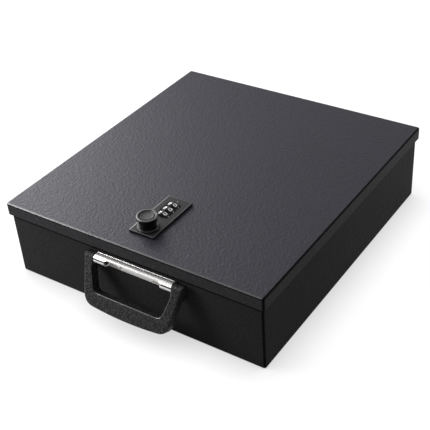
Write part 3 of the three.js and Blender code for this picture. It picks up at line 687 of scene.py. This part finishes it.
def make_casting():
    plate = block("lock_casting_face", around(LOCK_X, PLATE_X), (PLATE_FRONT, PLATE_REAR),
                  (PLATE_BOTTOM, PLATE_TOP - PLATE_FALL))
    with editing(plate):
        pick(plate, "faces", lambda face: face.normal.z > 0.9)
        bpy.ops.mesh.inset(thickness=PLATE_BEVEL * MM)
        bpy.ops.transform.translate(value=(0, 0, PLATE_FALL * MM))
    add(plate, block("chamber", around(LOCK_X, CASTING_X), (CASTING_FRONT, CASTING_REAR),
                     (CASTING_BOTTOM, PLATE_TOP - CASTING_SINK)))
    cut(plate,
        block("dial_room", around(LOCK_X, CHAMBER_X), around(DIALS_Y, CHAMBER_HALF),
              (CASTING_BOTTOM - OVERRUN, PLATE_BOTTOM)),
        rod("spindle_bore", "z", SPINDLE_RADIUS + SEAT_GAP, past(CASTING_BOTTOM, PLATE_TOP),
            (LOCK_X, KNOB_Y)),
        rod("axle_bore", "y", AXLE_RADIUS + SEAT_GAP,
            (DIALS_Y - CHAMBER_HALF - AXLE_SEAT, CASTING_REAR + OVERRUN), (LOCK_X, DIAL_Z), 24),
        block("index_line", around(LOCK_X, INDEX_HALF),
              (PLATE_REAR - INDEX_START, PLATE_REAR - INDEX_END),
              (PLATE_TOP - INDEX_DEPTH, PLATE_TOP + OVERRUN)))
    for index in range(DIAL_COUNT):
        slot = around(dial_y(index), DIAL_THICKNESS / 2 + DIAL_SIDE_GAP)
        cut(plate, rod("dial_slot", "y", DIAL_RADIUS + DIAL_SLOT_GAP, slot, (LOCK_X, DIAL_Z), 96))
    for side in (-1, 1):
        x = LOCK_X + side * (CASTING_X - COVER_SCREW_INSET)
        for y in (CASTING_FRONT + COVER_SCREW_INSET, CASTING_REAR - COVER_SCREW_INSET):
            cut(plate, rod("cover_hole", "z", COVER_HOLE,
                           (CASTING_BOTTOM - OVERRUN, COVER_HOLE_TOP), (x, y), 24))
        reach = (CASTING_X + OVERRUN, CASTING_X - CLAMP_HOLE_DEPTH)
        ends = sorted(LOCK_X + side * end for end in reach)
        cut(plate, rod("clamp_hole", "x", CLAMP_HOLE, ends, (CLAMP_Y, CLAMP_Z), 24))
    break_edges(plate, CASTING_EDGE)
    finished(plate, lock_black, "lid", "lock_black", "lock_casting")

    def aside(face):
        """How far a face lies outside the plate's outline, less than zero inside it."""
        spot = face.center / MM
        return max(abs(spot.x - LOCK_X) - PLATE_X, PLATE_FRONT - spot.y, spot.y - PLATE_REAR)

    def sloping(face):
        return 0.3 < face.normal.z < 0.985

    def left_rim(face):
        return (face.center.x < (LOCK_X - PLATE_X + PLATE_BEVEL + 0.1) * MM and sloping(face)
                and abs(face.normal.x) > abs(face.normal.y))

    # The plate's bevels take painted highlights
    dress(plate, plate_bevel_highlight, lambda face: aside(face) > -PLATE_BEVEL - 0.1 and sloping(face))
    dress(plate, plate_left_highlight, left_rim)
    # The plate's side walls take the darker knob black as painted shade
    return dress(plate, knob_black, lambda face: aside(face) > -0.3 and face.normal.z < 0.3)


def make_index():
    """The painted line in the plate's groove, which the code is set against."""
    line = block(
        "index_line_paint", around(LOCK_X, INDEX_PAINT_HALF),
        (PLATE_REAR - INDEX_START + INDEX_PAINT_INSET, PLATE_REAR - INDEX_END - INDEX_PAINT_INSET),
        (PLATE_TOP - INDEX_PAINT_FLOOR, PLATE_TOP - INDEX_PAINT_TOP))
    break_edges(line, INDEX_EDGE)
    return finished(line, index_paint, "lid", "lock_black")


# Dials: ten flats between small ridges, with a figure on each flat
def make_dial(index):
    y = dial_y(index)
    width = around(y, DIAL_THICKNESS / 2)
    reach = DIAL_FLAT / math.cos(math.pi / DIAL_DIGITS)
    dial = rod(f"dial_wheel_{index + 1}", "y", reach, width, (LOCK_X, DIAL_Z), DIAL_DIGITS)
    centre = Vector((LOCK_X, y, DIAL_Z)) * MM
    corner = max(dial.data.vertices, key=lambda vert: vert.co.z).co - centre
    turn = math.atan2(corner.x, corner.z) if abs(corner.x) > 1e-6 else 0
    dial.data.transform(
        Matrix.Translation(centre) @ Matrix.Rotation(-turn, 4, "Y") @ Matrix.Translation(-centre))

    def across(edge):
        return abs((edge.verts[0].co - edge.verts[1].co).normalized().y) > 0.99

    def narrow(face):
        ridge_area = DIAL_RIDGE * DIAL_THICKNESS * MM * MM
        return abs(face.normal.y) < 0.1 and face.calc_area() < 3 * ridge_area

    with editing(dial, "EDGE"):
        bevel_edges(dial, across, DIAL_RIDGE, 1)
    with editing(dial):
        pick(dial, "faces", narrow)
        lift = (DIAL_RADIUS - DIAL_FLAT) * DIAL_RIDGE_SHARE
        bpy.ops.mesh.extrude_faces_move(
            MESH_OT_extrude_faces_indiv={}, TRANSFORM_OT_shrink_fatten={"value": lift * MM})
    cut(dial, rod("dial_bore", "y", AXLE_RADIUS + SEAT_GAP, past(*width), (LOCK_X, DIAL_Z), 32))
    break_edges(dial, DIAL_EDGE, segments=3, angle=25)
    return finished(dial, dial_plastic, f"dial_{index + 1}", "dial_plastic", f"dial_{index + 1}")


def make_figure(index, digit):
    """One figure, centred on its flat and standing upright for someone at the lid's right."""
    bpy.ops.object.select_all(action="DESELECT")
    bpy.ops.object.text_add()
    figure = bpy.context.active_object
    text = figure.data
    text.body = str(digit)
    text.align_x, text.align_y = "CENTER", "CENTER"
    text.size = FIGURE_SIZE * MM
    text.extrude = FIGURE_RAISE * MM
    text.offset = FIGURE_SWELL * MM
    text.resolution_u = 4
    alone(figure)
    bpy.ops.object.convert(target="MESH")
    figure = bpy.context.active_object
    xs = [vert.co.x for vert in figure.data.vertices]
    ys = [vert.co.y for vert in figure.data.vertices]
    middle = Vector((min(xs) + max(xs), min(ys) + max(ys), 0)) / 2
    figure.data.transform(Matrix.Translation(-middle))
    figure.scale = FIGURE_STRETCH
    figure.rotation_euler = (0, 0, math.pi / 2)
    settle(figure)
    figure.location = (0, 0, (DIAL_FLAT + FIGURE_LIFT) * MM)
    settle(figure)
    step = 360 / DIAL_DIGITS
    figure.rotation_euler = (0, math.radians(step / 2 + step * digit), 0)
    settle(figure)
    figure.location = Vector((LOCK_X, dial_y(index), DIAL_Z)) * MM
    return settle(figure)


def make_figures(index):
    made = [make_figure(index, digit) for digit in range(DIAL_DIGITS)]
    bpy.ops.object.select_all(action="DESELECT")
    for figure in made:
        figure.select_set(True)
    bpy.context.view_layer.objects.active = made[0]
    bpy.ops.object.join()
    figures = bpy.context.active_object
    figures.name = f"dial_figures_{index + 1}"
    with editing(figures):
        bpy.ops.mesh.select_all(action="SELECT")
        bpy.ops.mesh.remove_doubles(threshold=1e-7)
    smooth(figures, angle=30)
    return finished(figures, white_figures, f"dial_{index + 1}", "dial_plastic")


# Knob, cap and collar
def make_knob():
    top, foot = KNOB_TOP, KNOB_BOTTOM
    profile = [(0, foot), (KNOB_WAIST - 0.3, foot)]
    profile += [(KNOB_WAIST, foot + 0.3), (KNOB_WAIST, foot + 1.1)]
    profile += [(KNOB_WAIST + 0.04, foot + 1.5), (KNOB_WAIST + 0.14, foot + 2)]
    profile += [(KNOB_RADIUS - 0.24, top - 2.2), (KNOB_RADIUS - 0.06, top - 1.6)]
    profile += arc((KNOB_RADIUS - RIM_ROUND, top - RIM_ROUND), RIM_ROUND, 0, 90, 12)
    profile += arc((KNOB_RADIUS - CREST_INSET, top - CREST_ROUND), CREST_ROUND, 90, 135)
    profile += [(DISH_RADIUS + 0.15, top - SLOPE_DROP), (DISH_RADIUS, DISH_FLOOR), (0, DISH_FLOOR)]
    knob = lathe("knob_cup", profile, (LOCK_X, KNOB_Y), steps=128)
    socket = (foot - OVERRUN, foot + KNOB_SOCKET)
    cut(knob, rod("knob_socket", "z", SPINDLE_RADIUS + SEAT_GAP, socket, (LOCK_X, KNOB_Y), 64))
    smooth(knob, angle=38)
    finished(knob, knob_black, "knob", "knob_black", "knob")

    def on_top(face):
        return face.center.z > (top - 2) * MM and face.normal.z > 0.3

    def in_dish(face):
        from_axis = math.hypot(face.center.x - LOCK_X * MM, face.center.y - KNOB_Y * MM)
        return (face.center.z > (DISH_FLOOR - 0.1) * MM
                and from_axis < (KNOB_RADIUS - SLOPE_INSET) * MM)

    # The crest and the dish take lighter blacks than the sides: painted light on the knob's top
    dress(knob, knob_top_black, on_top)
    return dress(knob, cap_black, in_dish)


def make_cap():
    radius, bottom = DISH_RADIUS - SEAT_GAP, DISH_FLOOR + SEAT_GAP
    profile = [(0, bottom), (radius - 0.15, bottom), (radius, bottom + 0.15)]
    profile += arc((radius - 0.3, bottom + 0.5), 0.3, 0, 90, 5)
    profile += [(radius - 0.8, bottom + 0.78), (radius - 1.3, bottom + 0.5)]
    profile += [(radius - 2.4, bottom + 0.38), (0, bottom + 0.3)]
    cap = lathe("knob_cap_dished", profile, (LOCK_X, KNOB_Y))
    smooth(cap, angle=40)
    return finished(cap, cap_black, "knob", "cap_black", "knob_cap")


def make_collar():
    bore = SPINDLE_RADIUS + SEAT_GAP
    profile = [(bore, COLLAR_BOTTOM), (COLLAR_RADIUS - 0.15, COLLAR_BOTTOM)]
    profile += [(COLLAR_RADIUS, COLLAR_BOTTOM + 0.15)]
    profile += arc((COLLAR_RADIUS - COLLAR_ROUND, COLLAR_BOTTOM + 0.4), COLLAR_ROUND, 0, 90, 14)
    profile += [(bore, COLLAR_TOP), (bore, COLLAR_BOTTOM)]
    collar = lathe("collar_ring", profile, (LOCK_X, KNOB_Y), steps=128)
    smooth(collar, angle=38)
    return finished(collar, collar_black, "lid", "collar_black", "knob_collar")


# Handle channel: the flange on the wall folds over into a cover that curls round at both ends
def make_channel():
    half = CHANNEL_SHEET / 2
    middle = CHANNEL_RADIUS - half
    behind, top = WALL_Y - half - FOLD_RADIUS, PIVOT_Z + CHANNEL_RADIUS
    section = [(WALL_Y - half, PIVOT_Z - FLANGE_DROP)]
    section += arc((behind, PIVOT_Z + middle - FOLD_RADIUS), FOLD_RADIUS, 0, 90, 5)
    section += arc((PIVOT_Y, PIVOT_Z), middle, 90, 270, 30)
    section += [(WALL_Y - CHANNEL_SHEET - COVER_END_GAP, PIVOT_Z - middle)]
    low, high = around(HANDLE_X, CHANNEL_X)
    cover = trace("handle_channel_cover", [(low, y, z) for y, z in section])
    draw_out(cover, "EDGE", ((high - low) * MM, 0, 0))
    apply(cover, "SOLIDIFY", thickness=CHANNEL_SHEET * MM, offset=0, use_even_offset=True)

    slit = block("curl_slit", past(low, high), (-CHANNEL_RADIUS - OVERRUN, 0), around(0, SLIT / 2))
    slit.rotation_euler = (-math.radians(SLIT_ANGLE), 0, 0)
    slit.location = (0, PIVOT_Y * MM, PIVOT_Z * MM)
    settle(slit)
    wide = CHANNEL_X - CURL
    narrow = wide - OPENING_SLOPE
    below, front = PIVOT_Z - CHANNEL_RADIUS - OVERRUN, PIVOT_Y - CHANNEL_RADIUS - OVERRUN
    slit_z = PIVOT_Z + CHANNEL_RADIUS * math.sin(math.radians(SLIT_ANGLE))
    opening = [(HANDLE_X - wide + OPENING_STEP, below), (HANDLE_X + wide - OPENING_STEP, below),
               (HANDLE_X + wide, slit_z - OPENING_STEP), (HANDLE_X + wide, slit_z),
               (HANDLE_X + narrow, top + OPENING_RISE), (HANDLE_X - narrow, top + OPENING_RISE),
               (HANDLE_X - wide, slit_z), (HANDLE_X - wide, slit_z - OPENING_STEP)]
    open_front = prism("open_front", "y", opening, (front, PIVOT_Y - COVER_REACH))
    under = [(x, min(z, PIVOT_Z)) for x, z in opening]
    open_under = prism("open_under", "y", under, (front, WALL_Y - CHANNEL_SHEET))
    cut(cover, slit, open_front, open_under)

    corners = block("corners", (low, high), (front, WALL_Y + OVERRUN),
                    (PIVOT_Z - FLANGE_DROP, top + CORNER_RISE))
    with editing(corners, "EDGE"):
        bevel_edges(corners, along_y, FLANGE_CORNER, 5)
    trim(cover, corners)
    for x in SCREW_XS:
        cut(cover, rod("screw_hole", "y", SCREW_HOLE,
                       (WALL_Y - SCREW_HOLE_RUN, WALL_Y + OVERRUN), (x, SCREW_Z), 32))
    cut(cover, rod("groove", "x", GROOVE_RADIUS, past(low, high),
                   (behind - GROOVE_BACK, top + GROOVE_RISE), 24))
    add(cover, rod("bead", "x", BEAD_RADIUS, (low + BEAD_INSET, high - BEAD_INSET),
                   (behind - BEAD_BACK, top - BEAD_SINK), 24))
    break_edges(cover, CHANNEL_EDGE, segments=3)
    finished(cover, chrome, "tray", "chrome", "handle_channel")
    fore, aft = around(behind - GROOVE_BACK, GROOVE_RADIUS + 0.05)

    def in_groove(face):
        return (fore * MM < face.center.y < aft * MM
                and (top - 0.5) * MM < face.center.z < (top - 0.03) * MM)

    return dress(cover, groove_shade, in_groove)


# Grip: drawn about its pivot, with x along the pivot, y up the grip and z out of its face
def make_grip():
    half = GRIP_THICKNESS / 2
    half_top = GRIP_INNER + GRIP_ARM
    half_foot = half_top - GRIP_TAPER
    foot, inner_bottom = GRIP_BOW - GRIP_DROP, GRIP_BAR - GRIP_DROP
    bend, inner_bend = foot + GRIP_CORNER, inner_bottom + GRIP_INNER_CORNER
    low = foot - GRIP_BOW / 4
    outer_bend = half_top - GRIP_TAPER * bend / foot
    inner_foot = GRIP_INNER - GRIP_INNER_TAPER
    window_share = (inner_bend + GRIP_KNEE) / (inner_bottom + GRIP_KNEE)
    window_bend = GRIP_INNER - GRIP_INNER_TAPER * window_share

    right = [(half_top, half), (outer_bend, bend)]
    right += bow((outer_bend, bend), (half_foot, foot), (half_foot - GRIP_CORNER, low))
    sag = bow((half_foot - GRIP_CORNER, low), (0, GRIP_BOW_LIFT - GRIP_DROP - GRIP_BOW / 2),
              (GRIP_CORNER - half_foot, low), 16)
    window = [(-GRIP_INNER, half), (-GRIP_INNER, -GRIP_KNEE), (-window_bend, inner_bend)]
    window += bow((-window_bend, inner_bend), (-inner_foot, inner_bottom),
                  (GRIP_INNER_CORNER - inner_foot, inner_bottom), 10)

    outline = right + sag[:-1] + mirrored(right) + window + mirrored(window)
    grip = prism("grip_moulding", "z", outline, (-half, half))

    def in_window(edge, slack):
        reach, lowest = (GRIP_INNER + slack) * MM, (inner_bottom - slack) * MM
        return all(abs(vert.co.x) < reach and vert.co.y > lowest for vert in edge.verts)

    def window_rim(edge):
        return level_edge(half)(edge) and in_window(edge, 0.1)

    def outer_rim(edge):
        at_face = level_edge(half)(edge) or level_edge(-half)(edge)
        return at_face and not in_window(edge, WINDOW_RIM)

    with editing(grip, "EDGE"):
        bevel_edges(grip, window_rim, WINDOW_BEVEL, 3)
        bevel_edges(grip, outer_rim, GRIP_BEVEL, 4)
    width = past(-half_top, half_top)
    rounded = rod("knuckles", "x", half, width, (0, 0), 64)
    add(rounded, block("below", width, (-GRIP_DROP - OVERRUN, 0), past(-half, half)))
    trim(grip, rounded)

    tilt = math.radians(GRIP_TILT)

    def wall(y):
        return -(CHANNEL_RADIUS - y * math.sin(tilt)) / math.cos(tilt)

    back = GRIP_BEVEL - half
    heel = [(0, back), (0, wall(0)), (-HEEL, wall(-HEEL)), (-HEEL - HEEL_RUNOUT, back)]
    for side in (-1, 1):
        xs = sorted((side * (GRIP_INNER + HEEL_INSET), side * (half_top - HEEL_INSET)))
        add(grip, prism("heel", "x", heel, xs))
        seat = sorted((side * (GRIP_INNER - OVERRUN), side * (half_top - STUB_WALL)))
        cut(grip, rod("stub_seat", "x", STUB_NECK + SEAT_GAP, seat, (0, 0), 32))
    pivot = Vector((HANDLE_X, PIVOT_Y, PIVOT_Z)) * MM
    grip.rotation_euler = (math.pi / 2 - tilt, 0, 0)
    grip.location = pivot
    settle(grip)
    break_edges(grip, GRIP_EDGE, segments=3)
    finished(grip, grip_plastic, "handle", "grip_plastic", "handle_grip")
    out_of_face = Vector((0, -math.cos(tilt), math.sin(tilt)))
    up_the_grip = Vector((0, math.sin(tilt), math.cos(tilt)))

    def polished(face):
        """The window's lower and right edges and the left arm's outer edge, which take a painted
        highlight.
        """
        spot = (face.center - pivot) / MM
        across, up, out = spot.x, spot.dot(up_the_grip), spot.dot(out_of_face)
        if out < half - HIGHLIGHT_DEPTH or not 0.12 < face.normal.dot(out_of_face) < 0.97:
            return False
        at_window = (WINDOW_CORNER - GRIP_INNER < across < GRIP_INNER + WINDOW_RIM
                     and up > inner_bottom - WINDOW_RIM)
        return at_window or (across < -GRIP_INNER and face.normal.x < -0.2 and up > bend)

    return dress(grip, grip_highlight_edge, polished)


def make_screws():
    face = WALL_Y - CHANNEL_SHEET - SEAT_GAP - SCREW_HEAD
    depth = (face - 1, face + CROSS_DEPTH)
    for name, x in zip(("left", "right"), SCREW_XS):
        level = block("cross_level", around(x, CROSS_ARM), depth, around(SCREW_Z, CROSS_HALF))
        standing = block("cross_standing", around(x, CROSS_HALF), depth, around(SCREW_Z, CROSS_ARM))
        refined(f"handle_screw_{name}", screw_chrome, "tray", "screw_chrome", SCREW_EDGE,
                (level, standing))


make_lid()
make_tray()
make_casting()
make_index()
for index in range(DIAL_COUNT):
    make_dial(index)
    make_figures(index)
make_knob()
make_cap()
make_collar()
make_channel()
make_grip()
make_screws()

# CAD pieces whose shape is right: finish, body, slot, edge and the nodes
kept_shapes = [
    (zinc_plate, "tray", "zinc_plate", STEEL_EDGE, (
        "tray_hinge_leaf", "hinge_pin", "strike_bracket", "handle_washer_left",
        "handle_washer_right", "handle_nut_left", "handle_nut_right")),
    (zinc_plate, "lid", "zinc_plate", LOCK_PART_EDGE, (
        "lid_hinge_leaf", "lock_back_cover", "clamp_frame", "dial_axle", "detent_spring",
        "clamp_screw_left", "clamp_screw_right", "cover_screw_1", "cover_screw_2", "cover_screw_3",
        "cover_screw_4")),
    (spacer_plastic, "lid", "spacer_plastic", SPACER_EDGE, (
        "dial_spacer_1", "dial_spacer_2", "dial_spacer_3", "dial_spacer_4")),
    (zinc_plate, "knob", "zinc_plate", STEEL_EDGE, ("spindle", "cam", "cam_washer", "cam_nut")),
    (grip_plastic, "handle", "grip_plastic", STEEL_EDGE, ("pivot_stub_left", "pivot_stub_right")),
]
for material, body, slot, edge, names in kept_shapes:
    for name in names:
        refined(name, material, body, slot, edge)

# Every CAD solid keeps a finish of its own behind the detailed pieces
node_finishes = {
    "lid_shell": lid_paint, "base_tray": tray_paint, "lock_casting": lock_black, "knob": knob_black,
    "knob_cap": cap_black, "knob_collar": collar_black, "handle_channel": chrome,
    "handle_grip": grip_plastic, "pivot_stub_left": grip_plastic, "pivot_stub_right": grip_plastic,
    "dial_1": dial_plastic, "dial_2": dial_plastic, "dial_3": dial_plastic,
}
for name, node in nodes.items():
    node.data.materials.clear()
    node.data.materials.append(node_finishes.get(name, zinc_plate))


# Floor, light and camera
def seen_rays(finish):
    """1 for what the camera, a reflection or glass looks at, 0 for the light on the object."""
    camera_ray, glossy, through = (
        finish.node("ShaderNodeLightPath", outlet=ray)
        for ray in ("Is Camera Ray", "Is Glossy Ray", "Is Transmission Ray"))
    return camera_ray.larger(glossy).larger(through)


bpy.ops.object.select_all(action="DESELECT")
bpy.ops.mesh.primitive_plane_add(size=8, location=(0, 0, -0.0002))
floor = bpy.context.active_object
floor.name = "floor"
settle(floor)
floor_paint = Finish("floor_paint", Roughness=0.9, Specular_IOR_Level=0.0)
floor_paint.feed("Base Color", floor_paint.blend(seen_rays(floor_paint), grey(0.42), grey(0.12)))
# The floor's glow dims where the object is close: a painted contact shadow
open_above = floor_paint.node(
    "ShaderNodeAmbientOcclusion", {"samples": 16}, {"Distance": FLOOR_SHADOW_REACH}, outlet="AO")
floor_paint.feed("Emission Color", floor_paint.blend(open_above, grey(0.4), grey(1)))
floor_paint.feed("Emission Strength", seen_rays(floor_paint) * FLOOR_SHOWN)
floor.data.materials.append(floor_paint.material)

world = bpy.context.scene.world or bpy.data.worlds.new("studio")
bpy.context.scene.world = world
world.use_nodes = True


class Surround(Finish):
    """The world's own nodes, built with the same calls as a finish."""

    def __init__(self, world):
        self.tree = world.node_tree
        self.tree.nodes.clear()


surround = Surround(world)
backdrop = surround.node("ShaderNodeBackground", {}, {
    "Color": (1, 1, 1, 1), "Strength": seen_rays(surround) * WORLD_SHOWN + WORLD_LIGHT})
out = surround.tree.nodes.new("ShaderNodeOutputWorld")
surround.tree.links.new(backdrop.socket, out.inputs["Surface"])


def soft_lamp(name, place, aim, size, watts):
    light = bpy.data.lights.new(name, "AREA")
    light.shape = "RECTANGLE"
    light.size, light.size_y = size
    light.energy = watts
    lamp = bpy.data.objects.new(name, light)
    bpy.context.scene.collection.objects.link(lamp)
    lamp.location = place
    lamp.rotation_euler = (Vector(aim) - Vector(place)).to_track_quat("-Z", "Y").to_euler()


soft_lamp("window_left", (-0.78, 0.11, 0.48), aim=(-0.05, 0.0, 0.05), size=(0.9, 0.8), watts=14.5)
soft_lamp("front_left", (-0.6, -0.5, 0.4), aim=(0, -0.15, 0.05), size=(0.35, 0.35), watts=7.5)
soft_lamp("overhead", (0.2, -0.7, 2.1), aim=(0, 0, 0), size=(1.3, 1.3), watts=4)
soft_lamp("rear_right", (0.52, 0.42, 0.15), aim=(0.15, 0.12, 0.05), size=(0.25, 0.25), watts=1.8)

view = bpy.data.cameras.new("photo_view")
view.lens = PHOTO_LENS
view.sensor_width = 36
camera = bpy.data.objects.new("photo_view", view)
bpy.context.scene.collection.objects.link(camera)
camera.location = PHOTO_PLACE
camera.rotation_euler = [math.radians(turn) for turn in PHOTO_TURN]
bpy.context.scene.camera = camera
bpy.context.scene.view_settings.view_transform = "Standard"
